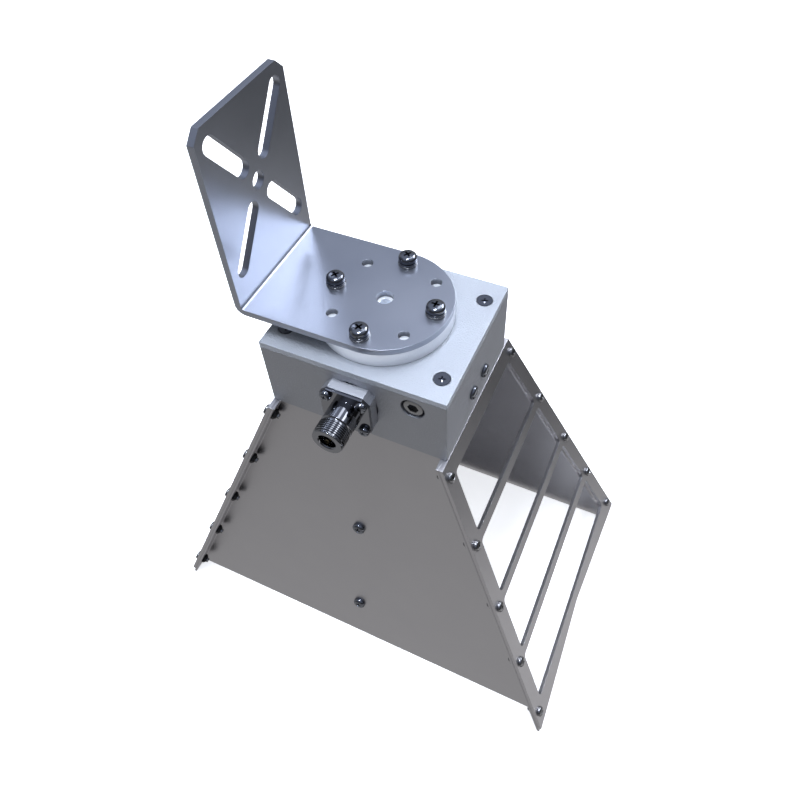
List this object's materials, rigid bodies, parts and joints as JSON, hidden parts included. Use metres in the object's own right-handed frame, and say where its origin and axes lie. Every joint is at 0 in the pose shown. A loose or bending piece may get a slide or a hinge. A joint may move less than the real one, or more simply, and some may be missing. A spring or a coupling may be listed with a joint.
{
  "type": "horn antenna",
  "caption": "Ridged horn antenna: a box with a coaxial jack over a flare of two bent plates and two open side grilles, with an upright slotted mounting bracket.",
  "frame": {"origin": "centre of the mouth's rim, on the horn's axis", "axes": "+Z from the mouth up the horn's axis to the box and bracket, -Y the way the coaxial jack looks, -X the side of the bracket's upright leg"},
  "size_m": [0.2514, 0.1646, 0.3334],
  "materials": {
    "anodised_aluminium": "bead-blasted, clear anodised",
    "anodised_sheet": "bead-blasted, clear anodised",
    "anodised_bracket": "bead-blasted, clear anodised",
    "nickel_plated": "bright nickel plate",
    "stainless_steel": "bright",
    "black_steel": "black oxide",
    "black_nuts": "dark oxide",
    "ptfe": "matt",
    "gold_plated": "polished"
  },
  "bodies": {
    "root": {"cavity_box": "anodised_aluminium", "cover_plate": "anodised_aluminium", "front_flare_plate": "anodised_sheet", "back_flare_plate": "anodised_sheet", "left_grille": "anodised_sheet", "right_grille": "anodised_sheet", "front_ridge": "anodised_aluminium", "back_ridge": "anodised_aluminium", "mount_disc": "anodised_aluminium", "bracket": "anodised_bracket", "adapter_block": "anodised_aluminium", "connector_body": "nickel_plated", "connector_insulator": "ptfe", "connector_contact": "gold_plated", "cover_screws": "stainless_steel", "left_grille_screws": "stainless_steel", "right_grille_screws": "stainless_steel", "left_grille_nuts": "black_nuts", "right_grille_nuts": "black_nuts", "ridge_screws": "stainless_steel", "ridge_wall_screws": "stainless_steel", "box_side_screws": "stainless_steel", "socket_cap_screw": "black_steel", "connector_screws": "stainless_steel", "bracket_screws": "stainless_steel", "spring_washers": "stainless_steel", "flat_washers": "stainless_steel"}
  },
  "joints": []
}
